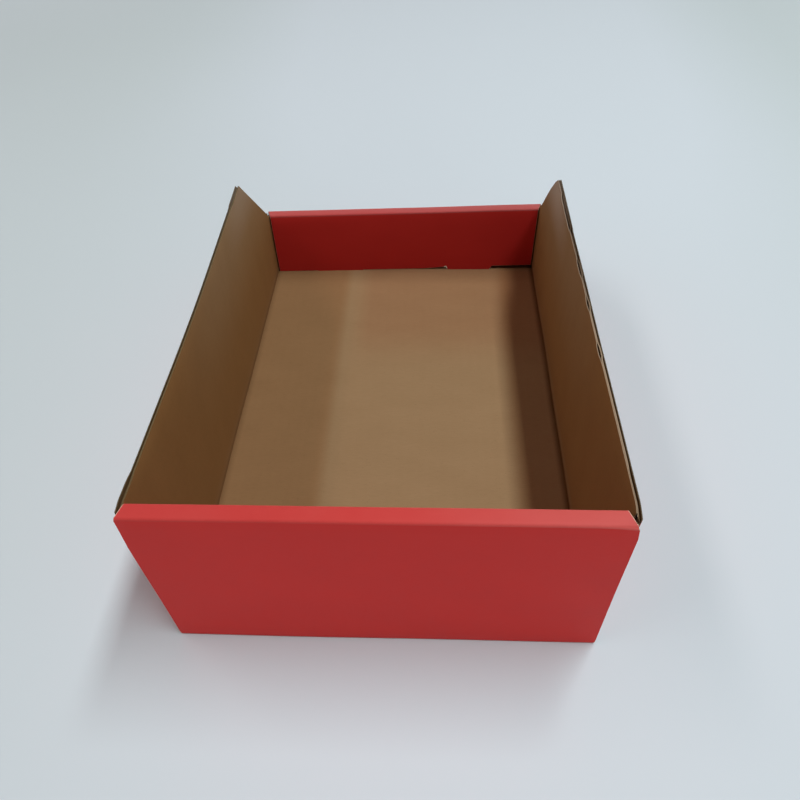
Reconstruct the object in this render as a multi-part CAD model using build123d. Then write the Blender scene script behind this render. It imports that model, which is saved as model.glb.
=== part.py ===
"""Open storage bin folded from one blank of corrugated board, in millimetres.

The bin stands on its base with +Z up. The tall end wall faces -Y and the low lip faces +Y.
The origin is the middle of the base, on the surface that the bin stands on.

The blank is two strips that cross at the base. The middle strip folds up at both ends, over
the rims and down inside. The cross strip folds up into the side walls, and their ends turn
in as dust flaps that lie between the two layers of each end wall.
"""
import math
import os

from build123d import *

os.makedirs("parts", exist_ok=True)

# Outside of the folded bin
bin_width = 203.0
bin_length = 305.0
bin_height = 104.0
lip_height = 53.5

# Corrugated board, its folds and the air between layers that lie on each other
board = 2.5
crease_radius = 0.4
fold_radius = 1.2
layer_gap = 0.2

# Flutes between the two liners, which run along the bin and stand open at cut edges
liner = 0.4
medium = 0.4
flute_pitch = 6.4
flute_crest = 0.4
flute_depth = 9.0

# Side walls: slope of the cut edge, and how far its foot runs in beside the rim of the lip
slope_angle = 45.0
slope_reach = 2.0

# Free edges of the end panels
edge_inset = 0.8
panel_lift = 0.5

# Dust flaps
flap_tip_gap = 30.0

# Lock tabs of the inner panels, and their slots in the base
tab_width = 31.0
tab_spacing = 99.0
tab_taper = 1.0
tab_recess = 0.4
slot_gap = 0.3

# How far a cutting solid runs past what it cuts
overrun = 5.0

# Sizes that follow from those above
fold_depth = crease_radius + board
flute_root = flute_pitch / 2 - flute_crest - medium
flap_step = board + layer_gap
rim_depth = 2 * flap_step + board
flap_face = bin_length / 2 - flap_step
panel_face = bin_length / 2 - rim_depth
slope_rise = bin_height - lip_height
slope_run = slope_rise / math.tan(math.radians(slope_angle))
slope_foot = panel_face + slope_reach


def shifted(corners, distance):
    """Corners of the same line, moved to its left by a distance."""
    runs = [Vector(*end) - Vector(*start) for start, end in zip(corners, corners[1:])]
    normals = [Vector(-run.Y, run.X).normalized() for run in runs]
    pairs = zip(normals[:1] + normals, normals + normals[-1:])
    return [
        Vector(*corner) + (before + after) * (distance / (1 + before.dot(after)))
        for corner, (before, after) in zip(corners, pairs)
    ]


def folded_sheet(plane, corners, start, end):
    """Board with its printed face along a line of corners, from start to end across a plane."""
    printed = FilletPolyline(*corners, radius=fold_radius)
    inside = FilletPolyline(*shifted(corners, board), radius=crease_radius)
    cuts = [Line(printed @ 0, inside @ 0), Line(printed @ 1, inside @ 1)]
    section = make_face([printed, inside, *cuts])
    return extrude(plane.offset(start) * section, amount=end - start)


def prism(plane, outline, start, end):
    """Straight-sided solid over an outline, from start to end across a plane."""
    face = make_face(Polyline(*outline, close=True))
    return extrude(plane.offset(start) * face, amount=end - start)


def on_both_sides(solids):
    """Solids of the +X side and their mirror images."""
    return solids + [mirror(solid, about=Plane.YZ) for solid in solids]


def at_both_ends(solids):
    """Solids of the +Y end and their mirror images."""
    return solids + [mirror(solid, about=Plane.XZ) for solid in solids]


def lock_tabs():
    """Tapered tabs under the inner panels, which hang in the slots of the base."""
    half_root = tab_width / 2
    half_tip = half_root - tab_taper
    root = board + panel_lift
    outline = [(-half_root, root), (-half_tip, tab_recess), (half_tip, tab_recess), (half_root, root)]
    tab = prism(Plane.XZ, outline, -panel_face - board, -panel_face)
    return at_both_ends(on_both_sides([Pos(X=tab_spacing / 2) * tab]))


def lock_slots():
    """Cutters for the slots of the base, a gap wider than the tabs all round."""
    half_width = tab_width / 2 + slot_gap
    near = panel_face - slot_gap
    far = panel_face + board + slot_gap
    outline = [(-half_width, near), (half_width, near), (half_width, far), (-half_width, far)]
    slot = prism(Plane.XY, outline, -overrun, board + overrun)
    return at_both_ends(on_both_sides([Pos(X=tab_spacing / 2) * slot]))


def end_strip():
    """Middle strip of the blank: the base and both end walls, rolled over at their rims."""
    half_length = bin_length / 2
    half_width = bin_width / 2 - edge_inset
    foot = board + panel_lift
    corners = [
        (-panel_face, foot),
        (-panel_face, bin_height),
        (-half_length, bin_height),
        (-half_length, 0),
        (half_length, 0),
        (half_length, lip_height),
        (panel_face, lip_height),
        (panel_face, foot),
    ]
    strip = folded_sheet(Plane.YZ, corners, -half_width, half_width)
    far_end = [rim_trim(lip_height), panel_groove(lip_height)]
    near_end = [rim_trim(bin_height), panel_groove(bin_height)]
    trims = [base_trim(), panel_trim(), *far_end]
    trims += [mirror(trim, about=Plane.XZ) for trim in near_end]
    return strip - on_both_sides(trims) + lock_tabs()


def base_trim():
    """Cutter that ends the base of the middle strip where the fold of a side wall begins."""
    inside = bin_width / 2 - fold_radius
    outside = bin_width / 2 + overrun
    reach = bin_length / 2 + overrun
    outline = [(inside, -reach), (outside, -reach), (outside, reach), (inside, reach)]
    return prism(Plane.XY, outline, -overrun, fold_radius)


def panel_trim():
    """Cutter that narrows both inner panels to fit between the side walls."""
    inside = bin_width / 2 - flap_step
    outside = bin_width / 2 + overrun
    outline = [(inside, -flap_face), (outside, -flap_face), (outside, flap_face), (inside, flap_face)]
    return prism(Plane.XY, outline, fold_depth, bin_height + overrun)


def rim_edge(gap):
    """Plan line at the +Y end where the rim's cut end runs from its outer to its inner fold."""
    outer_end = Vector(bin_width / 2 - edge_inset + gap, bin_length / 2)
    inner_end = Vector(bin_width / 2 - flap_step + gap, panel_face)
    reach = (outer_end - inner_end).normalized() * overrun
    return outer_end + reach, inner_end - reach


def rim_trim(rim_height):
    """Cutter that tapers the end of the rim at the +Y end, from its outer to its inner fold."""
    outer_end, inner_end = rim_edge(0)
    far_side = bin_width / 2 + overrun
    outline = [outer_end, inner_end, (far_side, inner_end.Y), (far_side, outer_end.Y)]
    return prism(Plane.XY, outline, rim_height - fold_depth, rim_height + overrun)


def side_strip():
    """Cross strip of the blank: the base and both side walls."""
    half_width = bin_width / 2
    corners = [
        (-half_width, bin_height),
        (-half_width, 0),
        (half_width, 0),
        (half_width, bin_height),
    ]
    reach = flap_face - fold_depth
    return folded_sheet(Plane.XZ, corners, -reach, reach)


def flap_strip():
    """One side wall above its bottom fold, with a dust flap turned in at each end."""
    tip = flap_tip_gap / 2
    half_width = bin_width / 2
    corners = [
        (tip, -flap_face),
        (half_width, -flap_face),
        (half_width, flap_face),
        (tip, flap_face),
    ]
    strip = folded_sheet(Plane.XY, corners, fold_depth, bin_height)
    return strip - [flap_trim(lip_height), mirror(flap_trim(bin_height), about=Plane.XZ)]


def flap_trim(rim_height):
    """Cutter that lowers a dust flap and its fold at the +Y end to pass under that end's rim."""
    outer_end, inner_end = rim_edge(layer_gap)
    middle = 0
    outline = [outer_end, inner_end, (middle, inner_end.Y), (middle, outer_end.Y)]
    return prism(Plane.XY, outline, rim_height - flap_step, bin_height + overrun)


def slope_trim():
    """Cutter that slopes both side walls down to the lip."""
    far = bin_length / 2 + overrun
    beyond = overrun / math.tan(math.radians(slope_angle))
    outline = [
        (slope_foot, lip_height),
        (far, lip_height),
        (far, bin_height + overrun),
        (slope_foot - slope_run - beyond, bin_height + overrun),
    ]
    reach = bin_width / 2 + overrun
    return prism(Plane.YZ, outline, -reach, reach)


def hollow(middle, place, facing):
    """Section of one hollow between the flutes and a liner, as (across, along) the board."""
    wide_side = middle + facing * (board / 2 - liner)
    narrow_side = middle - facing * (board / 2 - liner - medium)
    return [
        (wide_side, place - flute_root),
        (narrow_side, place - flute_crest),
        (narrow_side, place + flute_crest),
        (wide_side, place + flute_root),
    ]


def wall_hollows():
    """Cutters for the hollows that one side wall shows along its top edge and its slope."""
    middle = bin_width / 2 - board / 2
    half_pitch = flute_pitch / 2
    slope_top = slope_foot - slope_run
    groove = hollow(middle, bin_height, 1)
    cutters = [prism(Plane.XZ, groove, -slope_top - overrun, flap_face - fold_depth)]
    rows = int((slope_rise - flute_root) / half_pitch)
    for row in range(1, rows + 1):
        facing = 1 if row % 2 == 0 else -1
        drop = row * half_pitch
        mouth = slope_top + drop / math.tan(math.radians(slope_angle))
        outline = hollow(middle, bin_height - drop, facing)
        cutters.append(prism(Plane.XZ, outline, -mouth - overrun, flute_depth - mouth))
    return cutters


def panel_groove(rim_height):
    """Cutter for the hollow along the upright edge of the outer panel at the +Y end."""
    middle = bin_length / 2 - board / 2
    edge = bin_width / 2 - edge_inset
    outline = [(along, across) for across, along in hollow(middle, edge, -1)]
    return prism(Plane.XY, outline, fold_depth, rim_height - fold_depth)


side_walls = side_strip() + on_both_sides([flap_strip()]) - slope_trim() - on_both_sides(wall_hollows())
folded_bin = end_strip() + side_walls - lock_slots()
folded_bin.label = "folded_bin"
export_step(folded_bin, "parts/folded_bin.step")
print("folded_bin:", len(folded_bin.solids()), "solid,", round(folded_bin.volume), "cubic mm")
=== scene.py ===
# %% [markdown]
# # A storage bin folded from one sheet of board
#
# The bin is one die-cut blank of corrugated board. The board has three papers: a printed
# liner outside, a wavy medium, and a plain brown liner inside. This lesson cuts each paper
# flat, as the die does, and then folds all three with the same Geometry Nodes tree, so the
# open flutes show wherever the board was cut.
#
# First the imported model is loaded. It fixes the size and place that every paper must fit.

# %% The frame
import math

import bmesh
import bpy
import numpy as np
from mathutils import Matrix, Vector, noise
from mathutils.geometry import delaunay_2d_cdt


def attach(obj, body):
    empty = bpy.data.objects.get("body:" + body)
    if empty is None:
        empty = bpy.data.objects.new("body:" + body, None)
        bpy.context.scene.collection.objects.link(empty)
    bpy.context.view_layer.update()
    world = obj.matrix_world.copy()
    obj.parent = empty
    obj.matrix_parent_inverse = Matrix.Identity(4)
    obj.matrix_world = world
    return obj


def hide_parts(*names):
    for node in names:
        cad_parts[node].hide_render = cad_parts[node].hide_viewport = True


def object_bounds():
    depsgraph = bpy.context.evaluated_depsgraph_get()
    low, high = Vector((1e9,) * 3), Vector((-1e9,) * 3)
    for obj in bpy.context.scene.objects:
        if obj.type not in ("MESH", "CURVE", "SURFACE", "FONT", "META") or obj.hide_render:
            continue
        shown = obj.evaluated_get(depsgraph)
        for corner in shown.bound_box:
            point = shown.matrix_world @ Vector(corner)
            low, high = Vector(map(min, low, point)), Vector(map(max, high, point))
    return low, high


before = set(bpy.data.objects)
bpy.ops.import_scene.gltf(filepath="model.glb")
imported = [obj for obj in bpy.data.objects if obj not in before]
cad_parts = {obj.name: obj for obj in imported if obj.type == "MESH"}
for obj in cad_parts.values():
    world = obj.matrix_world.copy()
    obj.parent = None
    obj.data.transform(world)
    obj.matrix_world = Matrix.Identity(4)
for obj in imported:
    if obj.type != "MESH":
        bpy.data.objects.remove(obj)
cad_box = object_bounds()
print("frame:", sorted(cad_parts), [round(side, 4) for side in cad_box[1] - cad_box[0]])

# %% [markdown]
# ## The sizes of the folded bin
#
# A carton maker works from the outside of the folded bin and the thickness of the board.
# The outside comes from the frame. The rest are the maker's own sizes, in metres.

# %% Sizes of the bin and its board
MM = 0.001
bin_width, bin_length, bin_height = cad_box[1] - cad_box[0]
lip_height = 53.5 * MM
board = 2.5 * MM
liner = 0.35 * MM
medium = 0.25 * MM
outer_radius = 1.2 * MM
inner_radius = 0.4 * MM
fold_depth = board + inner_radius
layer_gap = 0.2 * MM
edge_inset = 0.8 * MM
panel_lift = 0.5 * MM
panel_slack = 0.9 * MM
flap_tip_gap = 30.0 * MM
tab_width = 36.0 * MM
tab_spacing = 100.0 * MM
tab_taper = 3.0 * MM
tab_recess = 0.4 * MM
slot_gap = 0.3 * MM

flap_step = board + layer_gap
rim_depth = 2 * flap_step + board
panel_face = bin_length / 2 - rim_depth
panel_half = bin_width / 2 - edge_inset
inner_half = bin_width / 2 - flap_step - panel_slack
print("board", board / MM, "mm, rim", round(rim_depth / MM, 2), "mm deep")

# %% [markdown]
# ## The flat blank
#
# Before it is folded the bin is a cross: a long strip with the two end walls, and a wide
# strip with the side walls and their dust flaps. Every fold uses up a quarter circle of
# board, so the marks below walk outwards along the printed face: flat, bend, flat, bend.
# Working these marks out, instead of typing points, keeps the blank true to its sizes.

# %% Marks of the blank, measured from its middle
right_angle = math.pi / 2
bend_length = outer_radius * right_angle
side_crease = bin_width / 2 - outer_radius
end_crease = bin_length / 2 - outer_radius
wall_foot = side_crease + bend_length
panel_foot = end_crease + bend_length
wall_top = wall_foot + bin_height - outer_radius
side_end = bin_length / 2 - flap_step - fold_depth
wall_bottom = wall_foot + fold_depth - outer_radius
flap_crease = bin_length / 2 - flap_step - outer_radius
flap_root = flap_crease + bend_length
flap_tip = flap_root + side_crease - flap_tip_gap / 2


def end_marks(height):
    """Marks along one end: the first rim fold, the second, the inner panel's top and foot."""
    rim_start = panel_foot + height - 2 * outer_radius
    rim_end = rim_start + bend_length + rim_depth - 2 * outer_radius
    inner_top = rim_end + bend_length
    inner_foot = inner_top + height - outer_radius - board - panel_lift
    return rim_start, rim_end, inner_top, inner_foot


far_rim, far_inner, far_top, far_foot = end_marks(lip_height)
near_rim, near_inner, near_top, near_foot = end_marks(bin_height)
print("blank:", round(2 * wall_top / MM), "x", round((far_foot + near_foot) / MM), "mm")

# %% [markdown]
# ## The outline that the die cuts
#
# The rim's ends taper, so that the folded corners of the side walls can stand beside them.
# The wall's top corner runs furthest on the outside of the fold, so each paper gets its own
# reach there. One half is written out, and the other half is its mirror image.

# %% Outline and slots
right_slope = [(148.0 * MM, 53.5 * MM), (113.9 * MM, 89.2 * MM), (98.4 * MM, 104.0 * MM)]
left_slope = [(142.9 * MM, 53.5 * MM), (121.5 * MM, 74.9 * MM), (94.6 * MM, 104.0 * MM)]


def slope_points(slope, corner_reach):
    """One wall's slope on the flat blank, from its tip down to the wall's corner."""
    (foot_y, foot_z), (kink_y, kink_z), tip = slope
    end_y = min(foot_y, corner_reach)
    end_z = kink_z + (foot_z - kink_z) * (end_y - kink_y) / (foot_y - kink_y)
    places = [tip, (kink_y, kink_z), (end_y, end_z)]
    if end_y < corner_reach:
        places.append((corner_reach, foot_z))
    return [(wall_foot + z - outer_radius, y) for y, z in places]


def end_outline(height, corner_reach):
    """Corners of one end's right half, from the inner panel's foot to the side wall's top."""
    rim_start, rim_end, inner_top, inner_foot = end_marks(height)
    tab_in = (tab_spacing - tab_width) / 2
    tab_out = (tab_spacing + tab_width) / 2
    tab_tip = inner_foot + board + panel_lift - tab_recess
    taper = (panel_half - inner_half) / rim_depth
    flap_top = wall_foot + height - flap_step - outer_radius
    return [
        (tab_in, inner_foot),
        (tab_in + tab_taper, tab_tip),
        (tab_out - tab_taper, tab_tip),
        (tab_out, inner_foot),
        (inner_half, inner_foot),
        (inner_half, inner_top),
        (inner_half + taper * outer_radius, rim_end),
        (panel_half - taper * outer_radius, rim_start + bend_length),
        (panel_half, rim_start),
        (panel_half, panel_foot),
        (side_crease, panel_foot),
        (side_crease, side_end),
        (wall_bottom, side_end),
        (wall_bottom, flap_tip),
        (flap_top, flap_tip),
        (flap_top, corner_reach),
    ]


def blank_half(slope, corner_reach):
    """One half of the outline, from the near end's middle to the far end's middle."""
    near = [(x, -y) for x, y in end_outline(bin_height, corner_reach)]
    far = slope_points(slope, corner_reach) + end_outline(lip_height, corner_reach)[::-1]
    return near + [(wall_top, -corner_reach)] + far


def blank_outline(corner_reach):
    """The whole outline, counterclockwise from the near end's middle."""
    left = blank_half(left_slope, corner_reach)
    return blank_half(right_slope, corner_reach) + [(-x, y) for x, y in reversed(left)]


def slot_outlines():
    """The four slots of the base, each as a hole."""
    half = tab_width / 2 - tab_taper / 2 + slot_gap
    near, far = panel_face - slot_gap, panel_face + board + slot_gap
    middles = [side * tab_spacing / 2 for side in (-1, 1)]
    return [
        [(x - half, low), (x + half, low), (x + half, high), (x - half, high)]
        for x in middles for low, high in ((near, far), (-far, -near))
    ]


print("outline corners:", len(blank_outline(flap_crease)), "slots:", len(slot_outlines()))

# %% [markdown]
# ## Cutting a sheet
#
# A constrained triangulation is a good die: it takes the outline, the slots and any guide
# lines, finds every crossing by itself and gives back clean faces. The guide lines put
# points where the paper will bend, and nowhere else. A second outline just inside the first
# gives the cut edge a narrow band of its own, which the inks later wear away along.

# %% The die
bend_steps = 6
edge_band = 0.45 * MM
same_point = 0.0001 * MM
overrun = 0.5 * MM


def shifted_inwards(outline, distance):
    """The same closed outline, moved to its left by a distance."""
    corners = [Vector(corner) for corner in outline]
    runs = [end - start for start, end in zip(corners, corners[1:] + corners[:1])]
    normals = [Vector((-run.y, run.x)).normalized() for run in runs]
    befores = normals[-1:] + normals[:-1]
    return [
        corner + (before + after) * (distance / (1 + before.dot(after)))
        for corner, before, after in zip(corners, befores, normals)
    ]


def bend_lines(start):
    """Distances of the lines across one bend."""
    return [start + bend_length * step / bend_steps for step in range(bend_steps + 1)]


def even_lines(start, end, spacing):
    """Distances of evenly spaced lines between two marks, without the marks."""
    count = max(1, round((end - start) / spacing))
    return [start + (end - start) * step / count for step in range(1, count)]


def end_lines(height, spacing):
    """Distances of all lines across one end strip."""
    rim_start, rim_end, inner_top, inner_foot = end_marks(height)
    lines = [y for start in (end_crease, rim_start, rim_end) for y in bend_lines(start)]
    lines += even_lines(panel_foot, rim_start, spacing)
    return lines + even_lines(inner_top, inner_foot, spacing)


def guide_lines(columns, spacing):
    """Guides of the blank: columns along the whole sheet, and rows where each strip bends."""
    guides = [[(x, -near_foot - board), (x, far_foot + board)] for x in columns]
    rows = end_lines(lip_height, spacing) + [-y for y in end_lines(bin_height, spacing)]
    guides += [[(-panel_half - overrun, y), (panel_half + overrun, y)] for y in rows]
    rows = bend_lines(flap_crease) + even_lines(flap_root, flap_tip, spacing)
    inner, outer = wall_bottom - overrun, wall_top + overrun
    for side in (-1, 1):
        for end in (-1, 1):
            guides += [[(side * inner, end * y), (side * outer, end * y)] for y in rows]
    rows = even_lines(-side_end, side_end, spacing)
    return guides + [[(-outer, y), (outer, y)] for y in rows]


def cut_sheet(outlines, guides):
    """Points and faces of a sheet: the first outline, less the others."""
    points, loops, lines = [], [], []
    for outline in outlines:
        loops.append(list(range(len(points), len(points) + len(outline))))
        points += [Vector(point) for point in outline]
    for guide in guides:
        lines += [(len(points) + i, len(points) + i + 1) for i in range(len(guide) - 1)]
        points += [Vector(point) for point in guide]
    valid_faces = 3
    made = delaunay_2d_cdt(points, lines, loops, valid_faces, same_point)
    made_points, made_faces, face_sources = made[0], made[2], made[5]
    faces = [face for face, sources in zip(made_faces, face_sources) if sources == [0]]
    used = sorted({corner for face in faces for corner in face})
    place = {corner: index for index, corner in enumerate(used)}
    kept = np.array([made_points[corner] for corner in used])
    return kept, [[place[corner] for corner in face] for face in faces]


def border_edges(faces):
    """Edges that only one face uses, each in the direction in which that face runs."""
    edges = [(a, b) for face in faces for a, b in zip(face, face[1:] + face[:1])]
    known = set(edges)
    return [(a, b) for a, b in edges if (b, a) not in known]


# %% [markdown]
# ## From a sheet to a paper
#
# Each paper is the flat sheet with a lower and an upper skin and a closed edge all round,
# so it is a solid of its own. Three values are kept on every point for later: where it lay
# on the flat blank, which strip it belongs to, and whether it lies on a cut edge. The
# folding reads the first two. The materials read the first and the last, because fibres
# and flutes must run over the folds without a break.

# %% Papers as closed solids
lower_skin, upper_skin, cut_skin = 0, 1, 2
end_strip_number, side_strip_number = 0, 1


def paper_solid(name, sheet, low, high):
    """A closed mesh between two heights over a sheet, with its flat place on its points."""
    points, faces = sheet
    count = len(points)
    border = border_edges(faces)
    skins = [face[::-1] for face in faces] + [[c + count for c in face] for face in faces]
    walls = [[a, b, b + count, a + count] for a, b in border]
    places = np.concatenate([np.column_stack([points, low]), np.column_stack([points, high])])
    mesh = bpy.data.meshes.new(name)
    mesh.from_pydata(places.tolist(), [], skins + walls)
    x, y = np.abs(places[:, 0]), np.abs(places[:, 1])
    on_side = (x > side_crease + same_point) & ((y < side_end + same_point) | (x > wall_foot))
    at_border = np.zeros(count)
    at_border[[a for a, b in border]] = 1
    strip = np.where(on_side, side_strip_number, end_strip_number)
    skins_in_order = [lower_skin, upper_skin, cut_skin]
    skin = np.repeat(skins_in_order, [len(faces), len(faces), len(walls)])
    store(mesh, "flat", "FLOAT_VECTOR", "POINT", "vector", places)
    store(mesh, "strip", "INT", "POINT", "value", strip)
    store(mesh, "edge", "FLOAT", "POINT", "value", np.tile(at_border, 2))
    store(mesh, "skin", "INT", "FACE", "value", skin)
    return mesh


def store(mesh, name, kind, domain, field, values):
    """Writes one named attribute."""
    attribute = mesh.attributes.new(name, kind, domain)
    attribute.data.foreach_set(field, np.asarray(values).ravel())


def cut_large_faces(mesh):
    """Splits faces with more than four corners, which would not stay flat when folded."""
    work = bmesh.new()
    work.from_mesh(mesh)
    bmesh.ops.triangulate(work, faces=[face for face in work.faces if len(face.verts) > 4])
    work.to_mesh(mesh)
    work.free()


# %% [markdown]
# ## The three papers
#
# The two liners are plain sheets. The medium between them is a cosine wave whose crests run
# along the bin, as on the real one, and the pitch is set so that a crest lies against the
# inner liner right at the top edge of the side walls. The crests are a little out of square
# with the blank, which makes the dark hollow along a cut edge swell and fade.
#
# Use has changed the top edges of the side walls. The lists below give the ends of each
# stretch along the bin. Pressed and narrow ones are thinner and swollen ones thicker. Open
# ones show a hollow, and the medium is thicker where it is crumpled or frayed.

# %% Cutting the three papers
lattice = 7.0 * MM
flutes_each_side = 32
flute_pitch = wall_top / flutes_each_side
flute_skew_share = 0.004
flute_steps = 10
wave_height = (board - 2 * liner - medium) / 2
outer_corner = flap_crease + 0.55 * bend_length
middle_corner = flap_crease + 0.2 * bend_length
inner_corner = panel_face + 1.6 * MM
edge_depth, edge_step = 4.0 * MM, 3.0 * MM
open_stretches = [(44 * MM, 110 * MM), (0, 14 * MM), (-27 * MM, -18 * MM), (-62 * MM, -52 * MM)]
swollen_stretches = open_stretches[:1]
crumpled_stretches = [(19 * MM, 39 * MM)]
frayed_stretches = [(-125 * MM, 14 * MM)]
pressed_stretches = [(-132 * MM, 70 * MM)]
narrow_stretches = [(80 * MM, 110 * MM)]
whole_edge = [(-side_end, 44 * MM)]
swelling, narrowing, fraying = 0.28 * MM, 0.7 * MM, 0.35 * MM
outer_pressing, inner_pressing, right_pressing = 0.45 * MM, 0.35 * MM, 0.5 * MM
sinking_share, frayed_lift_share, crumpled_share = 0.7, 0.5, 0.7


def liner_columns():
    """Distances of the liner's lines along the bin, on both sides of the middle."""
    columns = bend_lines(side_crease) + even_lines(0, side_crease, lattice)
    columns += even_lines(wall_foot, wall_top, lattice)
    return [0] + columns + [-x for x in columns]


def liner_sheet(corner_reach):
    """The sheet of one liner, with a narrow band along its cut edges."""
    outline, slots = blank_outline(corner_reach), slot_outlines()
    bands = [shifted_inwards(outline, edge_band)]
    bands += [shifted_inwards(slot, -edge_band) for slot in slots]
    guides = guide_lines(liner_columns(), lattice) + edge_rows()
    guides += [band + band[:1] for band in bands]
    return cut_sheet([outline] + slots, guides)


def fluting_sheet():
    """The sheet of the medium, with a line at every step of its wave."""
    steps = flutes_each_side * flute_steps
    columns = [wall_top * step / steps for step in range(-steps, steps + 1)]
    guides = guide_lines(columns, 3 * lattice)
    return cut_sheet([blank_outline(middle_corner)] + slot_outlines(), guides + edge_rows())


def edge_rows():
    """Guides of the top edges of both side walls: short rows, and a column where they end."""
    count = round(2 * side_end / edge_step)
    rows = [-side_end + edge_step * step for step in range(count)]
    inner, outer = wall_top - edge_depth, wall_top + overrun
    guides = [[(side * inner, y), (side * outer, y)] for side in (-1, 1) for y in rows]
    return guides + [[(side * inner, -side_end), (side * inner, side_end)] for side in (-1, 1)]


def smooth_share(values, start, end):
    """A smooth step from 0 at the start to 1 at the end."""
    share = np.clip((values - start) / (end - start), 0, 1)
    return share * share * (3 - 2 * share)


def along_top(points, side, stretches):
    """Which points lie at one wall's top edge within some stretches of it, from 0 to 1."""
    near_edge = smooth_share(side * points[:, 0], wall_top - edge_depth, wall_top)
    within = np.zeros(len(points))
    for start, end in stretches:
        begun = smooth_share(points[:, 1], start - edge_step, start + edge_step)
        within += begun * (1 - smooth_share(points[:, 1], end - edge_step, end + edge_step))
    return near_edge * within


def outer_level(points):
    """Height of the printed liner's outside: swollen on the right, pressed in on the left."""
    pressed = outer_pressing * along_top(points, -1, pressed_stretches)
    return pressed - swelling * along_top(points, 1, swollen_stretches)


def inner_level(points):
    """Height of the kraft liner's inside: pressed in wherever the edge doesn't stand open."""
    opened = along_top(points, 1, open_stretches)
    closed = np.maximum(along_top(points, 1, whole_edge) - opened, 0)
    pressed = inner_pressing * along_top(points, -1, pressed_stretches) + right_pressing * closed
    return board - pressed - narrowing * along_top(points, 1, narrow_stretches)


def fluting_levels(points):
    """Heights of the medium's two sides over each point."""
    low, high = outer_level(points) + liner, inner_level(points) - liner
    across = points[:, 0] + flute_skew_share * points[:, 1]
    height = (high - low - medium) / 2
    wave = (low + high) / 2 + height * np.cos(2 * math.pi * across / flute_pitch)
    opened, frayed = along_top(points, 1, open_stretches), along_top(points, 1, frayed_stretches)
    sunk = board / 2 - wave_height * (sinking_share - frayed_lift_share * frayed)
    middle = wave * (1 - opened) + sunk * opened
    crumpled = along_top(points, 1, crumpled_stretches)
    filled = height * crumpled_share * crumpled + fraying * frayed
    return middle - medium / 2 - filled, middle + medium / 2


outside, inside, middle = liner_sheet(outer_corner), liner_sheet(inner_corner), fluting_sheet()
level_outside, level_inside = outer_level(outside[0]), inner_level(inside[0])
papers = {
    "printed_liner": paper_solid("printed_liner", outside, level_outside, level_outside + liner),
    "fluting": paper_solid("fluting", middle, *fluting_levels(middle[0])),
    "kraft_liner": paper_solid("kraft_liner", inside, level_inside - liner, level_inside),
}
for name, mesh in papers.items():
    cut_large_faces(mesh)
    print(name, len(mesh.vertices), "points", len(mesh.polygons), "faces")

# %% [markdown]
# ## Node maths that reads like Python
#
# Both the folding and the finishes need a lot of arithmetic in nodes. This small class
# wraps one socket, so that an expression such as `1 - mask * 0.5` adds its Math nodes by
# itself. Any other node comes from one method, which takes its type, its settings and the
# values of its sockets. A few nodes that are used often have a method of their own.

# %% Wires and sheets of nodes
class Wire:
    """One output socket, with the operators of Python."""

    def __init__(self, sheet, socket):
        self.sheet = sheet
        self.socket = socket

    def pick(self, name):
        """Another output of the same node."""
        return Wire(self.sheet, self.socket.node.outputs[name])

    def join(self, operation, first, second=None):
        """A Math node, or a Vector Math node if a vector goes in."""
        values = [first] if second is None else [first, second]
        is_vector = any(isinstance(v, Wire) and v.socket.type == "VECTOR" for v in values)
        kind = "ShaderNodeVectorMath" if is_vector else "ShaderNodeMath"
        return self.sheet.add(kind, {"operation": operation}, dict(enumerate(values)))

    def __add__(self, other):
        return self.join("ADD", self, other)

    def __radd__(self, other):
        return self.join("ADD", other, self)

    def __sub__(self, other):
        return self.join("SUBTRACT", self, other)

    def __rsub__(self, other):
        return self.join("SUBTRACT", other, self)

    def __mul__(self, other):
        return self.join("MULTIPLY", self, other)

    def __rmul__(self, other):
        return self.join("MULTIPLY", other, self)

    def __truediv__(self, other):
        return self.join("DIVIDE", self, other)

    def __abs__(self):
        return self.join("ABSOLUTE", self)

    def __gt__(self, other):
        return self.join("GREATER_THAN", self, other)

    def __lt__(self, other):
        return self.join("LESS_THAN", self, other)

    def clamped(self):
        """The value kept between 0 and 1."""
        return self.join("MAXIMUM", self.join("MINIMUM", self, 1.0), 0.0)

    def dot(self, other):
        """The share of this vector along another."""
        return self.join("DOT_PRODUCT", self, other).pick("Value")


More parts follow.
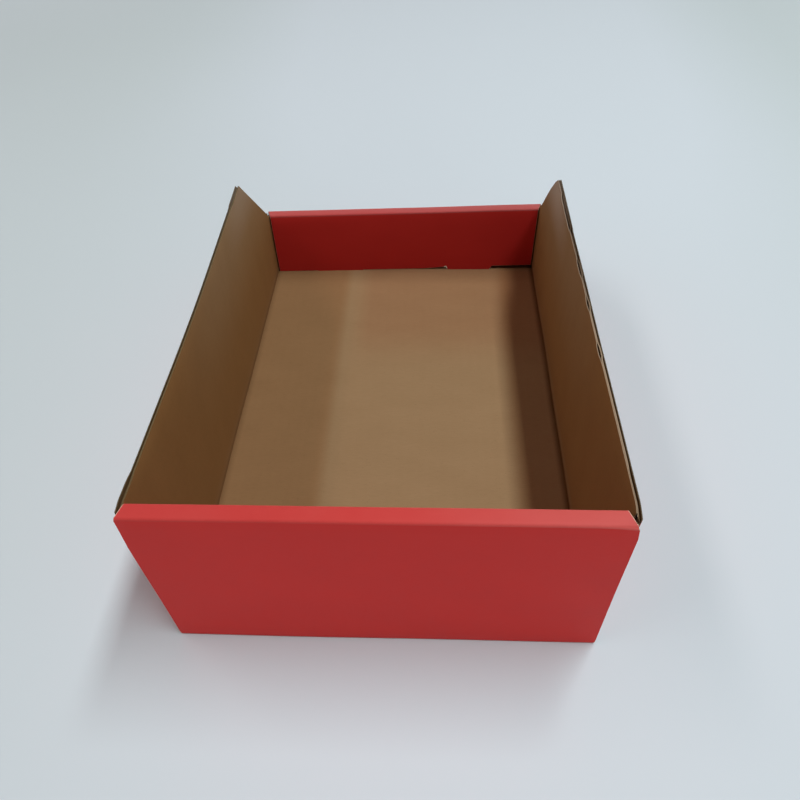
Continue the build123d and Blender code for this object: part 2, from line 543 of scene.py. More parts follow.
class NodeSheet:
    """A node tree that is built by calls."""

    def __init__(self, tree):
        self.tree = tree

    def add(self, kind, settings=None, values=None):
        """A new node. Values are numbers, colours or wires, by socket name or number."""
        node = self.tree.nodes.new(kind)
        for name, setting in (settings or {}).items():
            setattr(node, name, setting)
        for key, value in (values or {}).items():
            self.feed(self.find(node.inputs, key), value)
        return Wire(self, next((s for s in node.outputs if s.enabled), None))

    def find(self, sockets, key):
        """A socket by number, or the one in use by name."""
        if isinstance(key, int):
            return sockets[key]
        return next(s for s in sockets if s.name == key and s.enabled)

    def feed(self, socket, value):
        """Links a wire to a socket, or sets its value."""
        if isinstance(value, Wire):
            self.tree.links.new(value.socket, socket)
        elif socket.type == "VECTOR" and isinstance(value, (int, float)):
            socket.default_value = (value, value, value)
        else:
            socket.default_value = value

    def parts(self, vector):
        """The three parts of a vector."""
        split = self.add("ShaderNodeSeparateXYZ", None, {0: vector})
        return [split.pick(axis) for axis in "XYZ"]

    def stored(self, name, kind):
        """A named attribute of the geometry."""
        return self.add("GeometryNodeInputNamedAttribute", {"data_type": kind}, {"Name": name})

    def equal(self, first, second):
        """Whether two whole numbers are the same."""
        settings = {"data_type": "INT", "operation": "EQUAL"}
        return self.add("FunctionNodeCompare", settings, {"A": first, "B": second})

    def ramp(self, value, start, end):
        """A smooth step from 0 at the start value to 1 at the end value."""
        return self.add("ShaderNodeMapRange", {"interpolation_type": "SMOOTHSTEP"},
                        {"Value": value, "From Min": start, "From Max": end})

    def mix(self, share, first, second, way="MIX"):
        """A share of the second colour over the first, plain or by another way of blending."""
        return self.add("ShaderNodeMix", {"data_type": "RGBA", "blend_type": way},
                        {"Factor": share, "A": first, "B": second})

    def tinted(self, share, colour, tint):
        """The colour, with a share of it multiplied by a tint."""
        return self.mix(share, colour, self.mix(1.0, colour, tint, "MULTIPLY"))


# %% [markdown]
# ## One fold, as a node group
#
# A crease turns the sheet about a line. Points before the crease stay, points in the bend
# run round a quarter circle, and points beyond it swing up as a stiff panel. Where a point
# lies is decided on the flat blank, so folds made earlier, further out, don't matter. The
# group measures along a direction, so one group serves all ten folds of the bin.

# %% The fold group
fold_inputs = {
    "Geometry": "Geometry", "Strip": "Int", "Direction": "Vector", "Crease": "Float",
    "Outer radius": "Float", "Inner radius": "Float", "Pressed width": "Float",
    "Fold angle": "Float",
}


def new_socket(tree, name, kind, in_out="INPUT", default=None):
    """Adds a socket to a node group's interface."""
    socket = tree.interface.new_socket(name=name, in_out=in_out, socket_type="NodeSocket" + kind)
    if default is not None:
        socket.default_value = default


def fold_group():
    """Folds one strip along one crease."""
    tree = bpy.data.node_groups.new("Fold along a crease", "GeometryNodeTree")
    for name, kind in fold_inputs.items():
        new_socket(tree, name, kind)
    new_socket(tree, "Geometry", "Geometry", "OUTPUT")
    nodes = NodeSheet(tree)
    given = nodes.add("NodeGroupInput")
    direction, crease = given.pick("Direction"), given.pick("Crease")
    radius, angle = given.pick("Outer radius"), given.pick("Fold angle")
    inner_radius, width = given.pick("Inner radius"), given.pick("Pressed width")
    flat, strip = nodes.stored("flat", "FLOAT_VECTOR"), nodes.stored("strip", "INT")
    creased = nodes.stored("crease", "FLOAT")
    position = nodes.add("GeometryNodeInputPosition")
    height, depth = nodes.parts(position)[2], nodes.parts(flat)[2]
    flat_along = flat.dot(direction)
    along = position.dot(direction)
    bend = radius * angle
    before, after = flat_along < crease, flat_along > crease + bend
    turned = ((flat_along - crease) / bend).clamped()
    turn = turned * angle
    layer_radius = inner_radius.join("MAXIMUM", radius - depth, inner_radius)
    half_turn = angle * 0.5
    pressed = (depth + layer_radius - radius) * half_turn.join("TANGENT", half_turn)
    near_bend = (1 - (crease - flat_along) / width).clamped()
    beyond_bend = (1 - (flat_along - crease - bend) / width).clamped()
    swings = along - crease - bend + pressed * beyond_bend
    sine, cosine = turn.join("SINE", turn), turn.join("COSINE", turn)
    stays = along - crease - pressed * near_bend
    within = 1 - before - after
    new_along = before * stays + within * (layer_radius * sine - pressed)
    new_along = crease + new_along + after * ((radius - height) * sine + swings * cosine)
    new_height = before * height + within * (depth + layer_radius - layer_radius * cosine)
    new_height = new_height + after * (radius - (radius - height) * cosine + swings * sine)
    lift = nodes.add("ShaderNodeCombineXYZ", None, {"Z": new_height - height})
    offset = direction * (new_along - along) + lift
    chosen = nodes.equal(strip, given.pick("Strip"))
    moved = nodes.add("GeometryNodeSetPosition", None,
                      {"Geometry": given, "Selection": chosen, "Offset": offset})
    in_bend = 1 - abs(2 * turned - 1)
    marked = creased.join("MAXIMUM", creased, in_bend * chosen)
    kept = nodes.add("GeometryNodeStoreNamedAttribute", {"data_type": "FLOAT", "domain": "POINT"},
                     {"Geometry": moved, "Name": "crease", "Value": marked})
    nodes.add("NodeGroupOutput", None, {"Geometry": kept})
    return tree


fold = fold_group()
print("fold group:", len(fold.nodes), "nodes")

# %% [markdown]
# ## The folding order
#
# A packer rolls each end from its free edge inwards, and tucks the dust flaps in between.
# The tree does the same: the outermost fold comes first, because a panel that swings later
# carries everything beyond it. The last two nodes give the faces their paper and their ink.
# A smaller fold angle in the tree opens the blank up.

# %% The folding tree
pressed_width = 2.6 * MM
fold_sizes = {
    "Outer radius": outer_radius, "Inner radius": inner_radius,
    "Pressed width": pressed_width, "Fold angle": right_angle,
}
paper_inputs = {
    "Paper": "Material", "Skin paper": "Material", "Skin": "Int", "Edge paper": "Material",
}
far_way, near_way, right_way, left_way = (0, 1, 0), (0, -1, 0), (1, 0, 0), (-1, 0, 0)
folding_order = [
    ("Far inner panel", end_strip_number, far_way, far_inner),
    ("Far rim", end_strip_number, far_way, far_rim),
    ("Far outer panel", end_strip_number, far_way, end_crease),
    ("Near inner panel", end_strip_number, near_way, near_inner),
    ("Near rim", end_strip_number, near_way, near_rim),
    ("Near outer panel", end_strip_number, near_way, end_crease),
    ("Far dust flaps", side_strip_number, far_way, flap_crease),
    ("Near dust flaps", side_strip_number, near_way, flap_crease),
    ("Right wall", side_strip_number, right_way, side_crease),
    ("Left wall", side_strip_number, left_way, side_crease),
]


def folding_tree():
    """All folds in a row, with one named input for each crease."""
    tree = bpy.data.node_groups.new("Fold the bin", "GeometryNodeTree")
    new_socket(tree, "Geometry", "Geometry")
    for name, size in fold_sizes.items():
        new_socket(tree, name, "Float", default=size)
    for name, strip, direction, crease in folding_order:
        new_socket(tree, name, "Float", default=crease)
    for name, kind in paper_inputs.items():
        new_socket(tree, name, kind)
    new_socket(tree, "Geometry", "Geometry", "OUTPUT")
    nodes = NodeSheet(tree)
    given = nodes.add("NodeGroupInput")
    shape = given
    for name, strip, direction, crease in folding_order:
        values = {size: given.pick(size) for size in fold_sizes}
        values.update({"Geometry": shape, "Strip": strip, "Direction": direction})
        values["Crease"] = given.pick(name)
        shape = nodes.add("GeometryNodeGroup", {"node_tree": fold}, values)
    skin = nodes.stored("skin", "INT")
    shape = nodes.add("GeometryNodeRealizeInstances", None, {"Geometry": shape})
    values = {"Geometry": shape, "Material": given.pick("Paper")}
    shape = nodes.add("GeometryNodeSetMaterial", None, values)
    for number, name in ((given.pick("Skin"), "Skin paper"), (cut_skin, "Edge paper")):
        chosen = nodes.equal(skin, number)
        values = {"Geometry": shape, "Selection": chosen, "Material": given.pick(name)}
        shape = nodes.add("GeometryNodeSetMaterial", None, values)
    nodes.add("NodeGroupOutput", None, {"Geometry": shape})
    return tree


folding = folding_tree()
print("folding tree:", len(folding.nodes), "nodes,", len(folding_order), "folds")

# %% [markdown]
# ## Finishes: what all papers share
#
# Paper is a felt of fibres. They lie mostly across the flutes, the way the paper ran
# through its machine, so all the noise here is stretched that way. Every pattern is placed
# by the flat blank, so it bends round the folds as real paper does.

# %% Helpers for the finishes
fibre_scales = (220.0, 1500.0, 1500.0)
mottle_scale, mottle_detail = 26.0, 3.0
relief_depth = 0.1 * MM


def tone(red, green, blue):
    """A colour with full alpha."""
    return (red, green, blue, 1.0)


def emptied_tree(owner):
    """The node tree of a material or a world, without its first nodes."""
    owner.use_nodes = True
    owner.node_tree.nodes.clear()
    return owner.node_tree


class Finish(NodeSheet):
    """A paper's material, with the patterns that all papers share."""

    def __init__(self, name):
        self.material = bpy.data.materials.new(name)
        super().__init__(emptied_tree(self.material))
        self.flat = self.kept("flat", "Vector")
        self.edge = self.kept("edge", "Fac")

    def kept(self, name, output):
        """A value that was kept on the points."""
        return self.add("ShaderNodeAttribute", {"attribute_name": name}).pick(output)

    def speckle(self, scale, stretch, detail, roughness=0.5):
        """Noise from 0 to 1 over the flat blank."""
        stretched = self.add("ShaderNodeMapping", None, {"Vector": self.flat, "Scale": stretch})
        values = {"Vector": stretched, "Scale": scale, "Detail": detail, "Roughness": roughness}
        return self.add("ShaderNodeTexNoise", None, values)

    def fibres(self):
        """Fine streaks across the flutes."""
        return self.speckle(1.0, fibre_scales, 3.0, 0.6)

    def washboard(self):
        """The flutes as they show through a liner, from 0 to 1."""
        x, y, depth = self.parts(self.flat)
        turn = (x + y * flute_skew_share) * (2 * math.pi / flute_pitch)
        return turn.join("COSINE", turn) * 0.5 + 0.5

    def surface(self, colour, roughness, relief, specular):
        """The shader itself, with its bump."""
        values = {"Strength": 1.0, "Distance": relief_depth, "Height": relief}
        bump = self.add("ShaderNodeBump", None, values)
        values = {"Base Color": colour, "Roughness": roughness, "Normal": bump}
        values["Specular IOR Level"] = specular
        shader = self.add("ShaderNodeBsdfPrincipled", None, values)
        self.add("ShaderNodeOutputMaterial", None, {"Surface": shader})
        return self.material


# %% [markdown]
# ## Brown liner and fluting
#
# The inside of the bin is unbleached kraft. From a step away it is an even brown. Close up
# it has fibres, cloudy patches, a few dark flecks and the faint washboard of the flutes. Its
# colour also carries painted shade: it is darker on the walls, on the sides of the base, on
# the far base by the lip and along the side creases, and a painted highlight pales the far
# tips of the walls. The fluting is a greyer, rougher paper of the same make, so one function
# makes both. A fresh cut is paler. On the walls and the lip's inner panel a cut takes a darker
# tint of its own, and in the fluting's open hollow at the right wall's far part that tint is
# painted shade.

# %% Plain papers
kraft_mottle_stretch, fleck_stretch = (1, 2.2, 1), (1, 2.5, 1)
fleck_scale, fleck_range, fleck_share, fleck_darkness = 900.0, (0.70, 0.76), 0.35, 0.45
wall_rise, top_rise = (side_crease, wall_foot + 12 * MM), (wall_foot + 30 * MM, wall_top)
# Painted shade: tints for the walls and for the walls' shadows on the sides of the base.
base_shade_tint, wall_shade_tint = tone(0.90, 0.78, 0.69), tone(0.87, 0.71, 0.50)
left_shade, right_shade, right_shade_share = (37 * MM, 47 * MM), (68 * MM, 78 * MM), 0.8
lit_stretch, lit_share = (-90 * MM, 30 * MM), 0.85
# Painted shade on the far base by the lip.
lip_stretch, lip_width, lip_shade_tint = (30 * MM, 80 * MM), (-40 * MM, -20 * MM), tone(0.94, 0.83, 0.80)
# Painted shade along the side creases.
crease_middle = side_crease + bend_length / 2
crease_rise = (bend_length / 2 + 0.5 * MM, bend_length / 2 + 5.5 * MM)
left_crease_shade, right_crease_shade_extra, crease_shade_tint = 0.4, 0.6, tone(0.33, 0.24, 0.14)
# Painted highlight at the walls' far tips.
tip_stretch, tip_rise = (35 * MM, 92 * MM), (wall_foot + 70 * MM, wall_top - 2 * MM)
left_tip_highlight_share, right_tip_highlight_extra, tip_highlight_tone = 0.22, 0.33, tone(0.56, 0.47, 0.38)
cut_range, cut_share = (0.95, 1.3), 0.6
far_tint_stretch = (-60 * MM, 30 * MM)


def shaded(finish, colour):
    """The colour of plain paper, with painted shade and a painted highlight over the bin."""
    x, y, depth = finish.parts(finish.flat)
    across, on_right = abs(x), x > 0
    on_wall = finish.ramp(across, *wall_rise)
    # Painted shadows of the side walls on both sides of the base, and painted shade on the walls.
    on_base = finish.ramp(0 - x, *left_shade) + finish.ramp(x, *right_shade) * right_shade_share
    # The painted shade thins where the far tops of the walls are lit.
    lit = finish.ramp(across, *top_rise) * finish.ramp(y, *lit_stretch) * lit_share
    share = on_wall.join("MAXIMUM", on_base, on_wall) * (1 - lit)
    colour = finish.tinted(share, colour, finish.mix(on_wall, base_shade_tint, wall_shade_tint))
    # Painted shade on the far base by the lip.
    shade_by_lip = finish.ramp(y, *lip_stretch) * finish.ramp(x, *lip_width) * (1 - on_wall)
    colour = finish.tinted(shade_by_lip, colour, lip_shade_tint)
    # Painted shade in the side creases.
    creased = 1 - finish.ramp(abs(across - crease_middle), *crease_rise)
    creased = creased * (left_crease_shade + on_right * right_crease_shade_extra)
    colour = finish.tinted(creased, colour, crease_shade_tint)
    # A painted highlight at the walls' far tips.
    highlight_at_tip = finish.ramp(y, *tip_stretch) * finish.ramp(across, *tip_rise)
    return finish.mix(highlight_at_tip * (left_tip_highlight_share + on_right * right_tip_highlight_extra), colour, tip_highlight_tone)


def tinted_cut_edge(finish, colour, wall_tints):
    """The colour of a cut edge with its three tints: left wall, right wall near and far."""
    x, y, depth = finish.parts(finish.flat)
    left, near, far = [tone(*tint) for tint in wall_tints]
    on_right_wall = finish.mix(finish.ramp(y, *far_tint_stretch), near, far)
    on_top = finish.ramp(abs(x), wall_foot, wall_foot + 1 * MM)
    share = on_top.join("MAXIMUM", on_top, y > far_top)
    return finish.tinted(share, colour, finish.mix(x > 0, left, on_right_wall))


def plain_paper(name, light, dark, cut, washboard_share=0.0, wall_tints=None):
    """Unprinted paper between two tones, with its own where cut."""
    finish = Finish(name)
    cloud = finish.speckle(mottle_scale, kraft_mottle_stretch, mottle_detail)
    fibre, flutes = finish.fibres(), finish.washboard()
    shade = (cloud * 0.55 + fibre * 0.6 + flutes * washboard_share - 0.1).clamped()
    colour = finish.mix(shade, tone(*dark), tone(*light))
    fleck = finish.ramp(finish.speckle(fleck_scale, fleck_stretch, 1.0), *fleck_range)
    fleck_tone = tone(*[fleck_darkness * part for part in dark])
    colour = shaded(finish, finish.mix(fleck * fleck_share, colour, fleck_tone))
    frayed = finish.ramp(finish.edge + fibre * 0.5, *cut_range)
    colour = finish.mix(frayed * cut_share, colour, tone(*cut))
    if wall_tints:
        colour = tinted_cut_edge(finish, colour, wall_tints)
    relief = fibre * 0.12 + cloud * 0.1 + flutes * washboard_share
    return finish.surface(colour, 0.78 + fibre * 0.14, relief, 0.05)


kraft_tones = (0.325, 0.206, 0.106), (0.255, 0.156, 0.076), (0.40, 0.29, 0.18)
fluting_tones = (0.22, 0.155, 0.10), (0.15, 0.10, 0.062), (0.34, 0.25, 0.16)
raw_tones = (0.37, 0.28, 0.20), (0.26, 0.19, 0.13), (0.39, 0.30, 0.22)
raw_tints = [(0.36, 0.34, 0.23), (0.88, 0.88, 0.86), (0.66, 0.66, 0.66)]
# The fluting's cut edge at the right wall's far part is darkened as painted shade in the open
# hollow there.
wave_tints_with_hollow_shade = [raw_tints[0], raw_tints[1], (0.22, 0.19, 0.16)]
inked_tints = [(0.32, 0.36, 0.33)] * 3
kraft = plain_paper("kraft_liner_paper", *kraft_tones, washboard_share=0.03)
fluting_paper = plain_paper("fluting_paper", *fluting_tones)
raw_edge = plain_paper("cut_paper_edge", *raw_tones, wall_tints=raw_tints)
wave_edge = plain_paper("cut_fluting_edge", *raw_tones, wall_tints=wave_tints_with_hollow_shade)
inked_edge = plain_paper("inked_paper_edge", *raw_tones, wall_tints=inked_tints)
print("plain papers:", kraft.name, fluting_paper.name, raw_edge.name)

# %% [markdown]
# ## Red print
#
# The outside is flooded with one red ink under a satin varnish. The ink lies on a brown
# paper, so it dulls a little where it is thin. The folds crack it, and the die chips it
# along every cut, where a pale line of paper shows. Its gloss varies, which gives the rim
# its soft uneven sheen. The lip's rim is greyed and darkened, more towards its right. The
# tall wall's rim has a painted sheen towards its right end and painted shade towards its
# left, and it is chipped a little more. A corner of one lock tab is torn.

# %% Printed liner
torn_corner = ((tab_spacing - tab_width) / 2 + 0.2 * MM, far_foot + 0.3 * MM)
torn_radius, torn_unevenness = 1.5 * MM, 0.5 * MM
print_mottle_stretch = (1, 1.6, 1)
thin_ink, full_ink = tone(0.49, 0.023, 0.020), tone(0.58, 0.032, 0.027)
cracked_ink, lip_rim_grey = tone(0.62, 0.20, 0.16), tone(0.11, 0.075, 0.07)
# Painted sheen and painted shade for the tall wall's rim.
rim_sheen_ink, rim_shade_ink = tone(0.50, 0.17, 0.15), tone(0.10, 0.03, 0.03)
chipped_paper, torn_paper = tone(0.66, 0.46, 0.34), tone(0.92, 0.88, 0.74)
crack_range, chip_range = (0.50, 0.62), (0.85, 1.15)
crack_share, rim_shade_share, chip_share = 0.1, 0.14, 0.75
width_range = (-0.4 * bin_width, 0.4 * bin_width)
right_end_range = (-0.1 * bin_width, 0.45 * bin_width)


def red_print(name):
    """Satin red ink over paper."""
    finish = Finish(name)
    cloud = finish.speckle(mottle_scale, print_mottle_stretch, mottle_detail)
    fibre, flutes = finish.fibres(), finish.washboard()
    colour = finish.mix((cloud * 0.7 + fibre * 0.3).clamped(), thin_ink, full_ink)
    cracked = finish.ramp(fibre * finish.kept("crease", "Fac"), *crack_range)
    colour = finish.mix(cracked * crack_share, colour, cracked_ink)
    across, along, depth = finish.parts(finish.flat)
    to_right = finish.ramp(across, *width_range)
    at_right_end = finish.ramp(across, *right_end_range)
    # The lip's rim, greyed and darkened, more towards its right.
    handled = (along > far_rim) * (along < far_top)
    colour = finish.mix(handled * (0.30 + to_right * 0.1 + cloud * 0.16), colour, lip_rim_grey)
    # The tall wall's rim: a painted sheen towards its right end, and a little more chipping.
    on_tall_rim = (along < -near_rim) * (along > -near_top)
    colour = finish.mix(on_tall_rim * (at_right_end * 0.25 + cloud * 0.2), colour, rim_sheen_ink)
    # Painted shade towards the left of the tall wall's rim.
    colour = finish.mix(on_tall_rim * (1 - to_right) * rim_shade_share, colour, rim_shade_ink)
    chipped = finish.ramp(finish.edge + fibre * 0.45 + on_tall_rim * 0.35, *chip_range)
    colour = finish.mix(chipped * chip_share, colour, chipped_paper)
    corner = finish.add("ShaderNodeCombineXYZ", None, {"X": torn_corner[0], "Y": torn_corner[1]})
    away = finish.flat.join("DISTANCE", finish.flat, corner).pick("Value")
    torn = 1 - finish.ramp(away + cloud * torn_unevenness, torn_radius * 0.8, torn_radius * 1.2)
    colour = finish.mix(torn, colour, torn_paper)
    relief = fibre * 0.10 + cloud * 0.12 + flutes * 0.04
    roughness = 0.46 + cloud * 0.1 + cracked * 0.25 + chipped * 0.3
    return finish.surface(colour, roughness, relief, 0.10)


print_red = red_print("red_print")
print("print:", print_red.name)

# %% [markdown]
# ## Folding the three papers
#
# Each flat paper becomes an object with the folding tree as its modifier. The inputs are
# set by the identifier of their sockets, and the folded result is read back as a plain
# mesh, because a finished piece should need no live nodes.

# %% Folded meshes
def input_identifier(tree, name):
    """The identifier of one of a tree's inputs."""
    sockets = [item for item in tree.interface.items_tree if item.item_type == "SOCKET"]
    inputs = [socket for socket in sockets if socket.in_out == "INPUT"]
    return next(socket.identifier for socket in inputs if socket.name == name)


def folded(mesh, skin_paper, skin, edge_paper):
    """The mesh folded into the bin, on an object of the same name."""
    piece = bpy.data.objects.new(mesh.name, mesh)
    bpy.context.scene.collection.objects.link(piece)
    modifier = piece.modifiers.new("Folding", "NODES")
    modifier.node_group = folding
    values = {"Paper": fluting_paper, "Skin paper": skin_paper, "Edge paper": edge_paper}
    values["Skin"] = skin
    for name, value in values.items():
        modifier[input_identifier(folding, name)] = value
    depsgraph = bpy.context.evaluated_depsgraph_get()
    shape = bpy.data.meshes.new_from_object(piece.evaluated_get(depsgraph))
    piece.modifiers.remove(modifier)
    piece.data = shape
    shape.name = mesh.name
    return piece


printed_liner = folded(papers["printed_liner"], print_red, lower_skin, inked_edge)
fluting = folded(papers["fluting"], fluting_paper, lower_skin, wave_edge)
kraft_liner = folded(papers["kraft_liner"], kraft, upper_skin, raw_edge)
pieces = [printed_liner, fluting, kraft_liner]
for piece in pieces:
    size = [round(side / MM, 1) for side in piece.dimensions]
    print(piece.name, "folded:", size, "mm,", [slot.name for slot in piece.data.materials])

# %% [markdown]
# ## Handling
#
# A real bin is never as square as its drawing. This one's low lip stands higher at its
# right end, leans in a little, and its inner panel has crept. The left wall leans out
# towards the lip and bows in at its middle. At the tall end the rim dips at its right
# corner, the outer panel spreads under the rim and the inner one has slid to the left. All
# papers take the same shift, worked out from where each point is, so the layers stay
# together.

# %% Shifts from handling
lip_tilt_share, lip_tilt_place = 0.0235, 6.4 * MM
left_splay, left_bow = 1.5 * MM, 1.75 * MM
right_splay, right_bow, right_near_splay = 0.1 * MM, -0.40 * MM, 1.2 * MM
splay_power, splay_start = 1.3, (-156 * MM, -140 * MM)
panel_creep, lip_lean, lip_lean_start = 2.6 * MM, 1.2 * MM, (115 * MM, 143 * MM)
lip_fold_start = (140 * MM, 146 * MM)
foot_gap, foot_gap_start = 1.2 * MM, (12 * MM, 36 * MM)
corner_flare, corner_tuck = 0.3 * MM, 0.5 * MM
corner_start, corner_rise = (143 * MM, 149 * MM), (99 * MM, bin_height)
rim_dip, rim_dip_length, rim_rise = 1.5 * MM, 12.0 * MM, (90 * MM, bin_height)
left_spread, left_spread_drop = 0.75 * MM, 25 * MM
right_spread, right_spread_drop = 0.85 * MM, 5 * MM
spread_start, front_start = 50 * MM, 147 * MM
panel_shift, panel_rise = 0.6 * MM, (20 * MM, 90 * MM)
ripple, ripple_length, ripple_seed, settled_height = 0.35 * MM, 70.0 * MM, 46, 30 * MM
peak_y = 96.0 * MM
sharp_angle_deg = 40


def wall_shift(place, splay, bow, near_splay=0.0):
    """How far a side wall's points move outwards."""
    length = np.clip((place[:, 1] + flap_crease) / (peak_y + flap_crease), 0, 1)
    height = np.clip(place[:, 2] / bin_height, 0, 1)
    held_by_lip = 1 - smooth_share(place[:, 1], peak_y, flap_crease)
    held_by_rim = smooth_share(place[:, 1], *splay_start)
    shift = splay * length - bow * 4 * length * (1 - length)
    shift += near_splay * (1 - length) ** 2 * held_by_rim
    return shift * height ** splay_power * held_by_lip


def lip_shift(place, flat):
    """How far the lip's points move, as (along, up)."""
    rise = np.clip(place[:, 2] / lip_height, 0, 1)
    on_inner_panel = flat[:, 1] > far_top
    tilt = lip_tilt_share * (place[:, 0] - lip_tilt_place)
    foot_tilt = np.maximum(tilt, tab_recess - panel_lift)
    up = np.where(on_inner_panel, tilt * rise + foot_tilt * (1 - rise), tilt * rise)
    left_share = np.clip(-place[:, 0] / inner_half, 0, 1)
    along = -panel_creep * left_share * (1 - rise) * on_inner_panel
    up += foot_gap * smooth_share(place[:, 0], *foot_gap_start) * (1 - rise) * on_inner_panel
    tab_length = board + panel_lift - tab_recess
    up *= 1 - np.clip((flat[:, 1] - far_foot) / tab_length, 0, 1)
    return along, up


def ripples(place):
    """A slow uneven wave of the whole board."""
    shifts = np.array([noise.noise_vector(Vector(point) / ripple_length) for point in place])
    shifts[:, 2] *= smooth_share(place[:, 2], 0, settled_height)
    return shifts * ripple


def move_walls(place, moved, on_side):
    """Splays and bows both side walls, and turns their near corners."""
    left, right = on_side & (place[:, 0] < 0), on_side & (place[:, 0] > 0)
    moved[left, 0] -= wall_shift(place[left], left_splay, left_bow)
    moved[right, 0] += wall_shift(place[right], right_splay, right_bow, right_near_splay)
    at_corner = smooth_share(-place[:, 1], *corner_start) * smooth_share(place[:, 2], *corner_rise)
    moved[on_side, 1] -= (corner_flare * at_corner)[on_side]
    moved[left, 0] += (corner_tuck * at_corner)[left]


def move_lip(place, moved, flat, on_side):
    """Tilts and leans the lip, with the folds of the side walls beside it."""
    on_lip = ~on_side & (flat[:, 1] > end_crease)
    along, up = lip_shift(place[on_lip], flat[on_lip])
    moved[on_lip, 1] += along
    moved[on_lip, 2] += up
    rise = np.clip(place[:, 2] / lip_height, 0, 1)
    moved[:, 1] -= lip_lean * rise * smooth_share(place[:, 1], *lip_lean_start)
    beside_lip = smooth_share(place[:, 1], *lip_fold_start) * rise
    tilt = lip_tilt_share * (place[:, 0] - lip_tilt_place) * beside_lip
    moved[on_side, 2] += tilt[on_side]


def move_tall_end(place, moved, flat, on_side):
    """Dips the rim's right corner, spreads the outer panel and slides the inner one."""
    on_front = ~on_side & (place[:, 1] < -front_start)
    to_right = smooth_share(place[:, 0], panel_half - rim_dip_length, panel_half)
    on_rim = smooth_share(-place[:, 1], bin_length / 2 - board, bin_length / 2)
    on_rim *= smooth_share(place[:, 2], *rim_rise)
    moved[on_front, 2] -= (rim_dip * to_right * on_rim)[on_front]
    on_inner = ~on_side & (flat[:, 1] < -near_rim)
    rolled_in = smooth_share(-flat[:, 1], near_rim, near_inner)
    rolled_in *= smooth_share(place[:, 2], *panel_rise)
    moved[on_inner, 0] -= (panel_shift * rolled_in)[on_inner]
    out_front = smooth_share(-place[:, 1], front_start, end_crease)
    spreads = ((1, right_spread, right_spread_drop), (-1, left_spread, left_spread_drop))
    for side, spread, drop in spreads:
        share = smooth_share(side * place[:, 0], spread_start, panel_half) * out_front
        share *= smooth_share(bin_height - place[:, 2], 0, drop)
        moved[on_front, 0] += (side * spread * share)[on_front]


def handle(piece):
    """Moves a piece's points as use has moved the board."""
    mesh = piece.data
    count = len(mesh.vertices)
    place, flat = np.empty(count * 3), np.empty(count * 3)
    strip = np.empty(count, dtype=np.int32)
    mesh.vertices.foreach_get("co", place)
    mesh.attributes["flat"].data.foreach_get("vector", flat)
    mesh.attributes["strip"].data.foreach_get("value", strip)
    place, flat = place.reshape(-1, 3), flat.reshape(-1, 3)
    on_side = strip == side_strip_number
    moved = place + ripples(place)
    move_walls(place, moved, on_side)
    move_lip(place, moved, flat, on_side)
    move_tall_end(place, moved, flat, on_side)
    mesh.vertices.foreach_set("co", moved.ravel())
    mesh.shade_smooth()
    mesh.set_sharp_from_angle(angle=math.radians(sharp_angle_deg))
    mesh.update()


noise.seed_set(ripple_seed)
for piece in pieces:
    handle(piece)
print("handled:", [piece.name for piece in pieces])

# %% [markdown]
# ## Floor, light and camera
#
# The bin stands on a pale table under two long ceiling lamps, one a little to its right and
# a weaker one to its left. Both run along the bin, so shadows are crisp across it and soft
# along it. A window in front lights the tall wall. The room adds light that is brightest
# near the horizon and dimmer beyond the lip. Far out, the table fades into the backdrop,
# for the camera alone.

# %% Floor
backdrop = tone(0.61, 0.67, 0.71)
floor_radius, floor_sides = 6.0, 96
fade_start, fade_end = 0.75, 1.7
# Painted shade and painted light of the table's paint.
paint_in_shade, paint_in_light = tone(0.550, 0.615, 0.615), tone(0.62, 0.68, 0.71)


def floor_disc():
    """A round floor with its middle under the bin."""
    work = bmesh.new()
    bmesh.ops.create_circle(work, cap_ends=True, radius=floor_radius, segments=floor_sides)
    mesh = bpy.data.meshes.new("table_top")
    work.to_mesh(mesh)
    work.free()
    floor = bpy.data.objects.new("table_top", mesh)
    bpy.context.scene.collection.objects.link(floor)
    return floor


def table_paint():
    """A pale white, with painted shade to the left and far right, painted light ahead and a faint
    cloud.
    """
    paint = bpy.data.materials.new("table_paint")
    nodes = NodeSheet(emptied_tree(paint))
    place = nodes.add("ShaderNodeTexCoord").pick("Object")
    cloud = nodes.add("ShaderNodeTexNoise", None, {"Vector": place, "Scale": 2.5, "Detail": 1.0})
    across, along, height = nodes.parts(place)
    # Painted shade to the left and far right, and painted light ahead.
    light_ahead = nodes.ramp(along, 0.1, 0.5) * (1 - nodes.ramp(abs(across - 0.05), 0.1, 0.4))
    share = nodes.ramp(across, -0.38, 0.0) * 0.75 - nodes.ramp(across, 0.22, 0.5) * 0.9
    share = (share + light_ahead * 0.5 + cloud * 0.3 - 0.05).clamped()
    colour = nodes.mix(share, paint_in_shade, paint_in_light)
    shader = nodes.add("ShaderNodeBsdfPrincipled", None,
                       {"Base Color": colour, "Roughness": 0.8, "Specular IOR Level": 0.1})
    glow = nodes.add("ShaderNodeEmission", None, {"Color": backdrop})
    away = nodes.ramp(place.join("LENGTH", place).pick("Value"), fade_start, fade_end)
    seen = nodes.add("ShaderNodeLightPath").pick("Is Camera Ray")
    faded = nodes.add("ShaderNodeMixShader", None, {0: away * seen, 1: shader, 2: glow})
    nodes.add("ShaderNodeOutputMaterial", None, {"Surface": faded})
    return paint


floor = floor_disc()
floor.data.materials.append(table_paint())

# %% Lamps and room
lamp_height, lamp_length = 2.2, 1.9


def lamp(name, place, size, power, colour):
    """A rectangular lamp that faces the bin."""
    data = bpy.data.lights.new(name, "AREA")
    data.shape = "RECTANGLE"
    data.size, data.size_y = size
    data.energy = power
    data.color = colour
    made = bpy.data.objects.new(name, data)
    made.location = place
    made.rotation_euler = Vector(place).to_track_quat("Z", "Y").to_euler()
    bpy.context.scene.collection.objects.link(made)


def ceiling_place(lean_deg):
    """A place under the ceiling, leaning from the zenith to the right by an angle."""
    return (lamp_height * math.tan(math.radians(lean_deg)), 0, lamp_height)


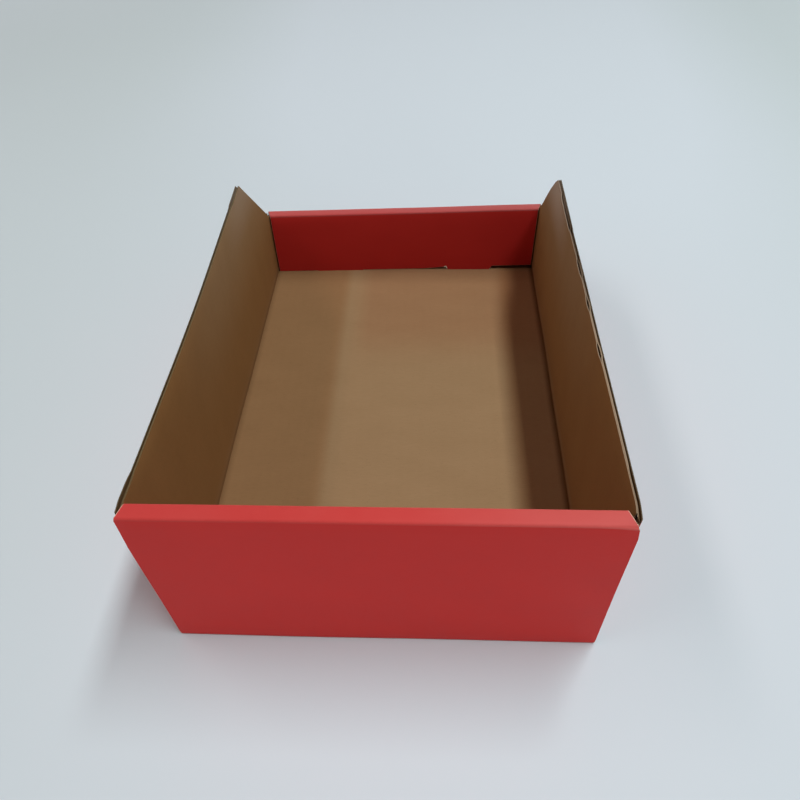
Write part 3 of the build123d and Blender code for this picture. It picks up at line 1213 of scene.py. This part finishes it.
lamp("right_ceiling_lamp", ceiling_place(16.9), (lamp_length, 0.28), 44, (0.93, 1.0, 1.03))
lamp("left_ceiling_lamp", ceiling_place(-30.5), (lamp_length, 0.36), 12, (1.21, 0.98, 0.98))
lamp("front_window", (0.2, -3.0, 0.55), (2.4, 0.9), 14, (1.0, 1.0, 1.0))


def room_light(zenith, horizon, sheen):
    """World light between two tones, with a sheen for glossy rays and a plain backdrop."""
    world = bpy.data.worlds.new("room")
    nodes = NodeSheet(emptied_tree(world))
    direction = nodes.add("ShaderNodeTexCoord").pick("Generated")
    to_right, to_lip, height = nodes.parts(direction)
    low = 1 - abs(height)
    dimmed = 1 - (to_lip * 1.4).clamped() * 0.6
    light = nodes.mix(low * low * dimmed, tone(*zenith), tone(*horizon))
    path = nodes.add("ShaderNodeLightPath")
    facing_lip = (to_lip * 1.5 + 0.5).clamped()
    shown = nodes.mix(path.pick("Is Glossy Ray") * facing_lip, light, tone(*sheen))
    shown = nodes.mix(path.pick("Is Camera Ray"), shown, backdrop)
    background = nodes.add("ShaderNodeBackground", None, {"Color": shown})
    nodes.add("ShaderNodeOutputWorld", None, {"Surface": background})
    bpy.context.scene.world = world


room_light((0.03, 0.03, 0.03), (0.62, 0.58, 0.58), (3.2, 3.2, 3.2))

# %% Camera
sensor = 36.0
focal_pixels, frame_pixels = 682.094, 800
data = bpy.data.cameras.new("camera")
data.sensor_width = sensor
data.lens = sensor * focal_pixels / frame_pixels
camera = bpy.data.objects.new("camera", data)
camera.location = (0.0231046, -0.2932351, 0.3255040)
camera.rotation_euler = (0.7462046, 0.0317242, 0.0371734)
bpy.context.scene.collection.objects.link(camera)
bpy.context.scene.camera = camera
bpy.context.scene.view_settings.view_transform = "Standard"
print("lens:", round(data.lens, 2), "mm")

# %% [markdown]
# ## Handing the papers to the frame
#
# The three papers together stand for the one folded sheet of the imported model. They ride on
# its body, and the model's own sheet is hidden.

# %% Riding and replacing
for piece, slot_name in zip(pieces, ("printed_liner", "corrugated_board", "corrugated_board")):
    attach(piece, "root")
    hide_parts("folded_bin")
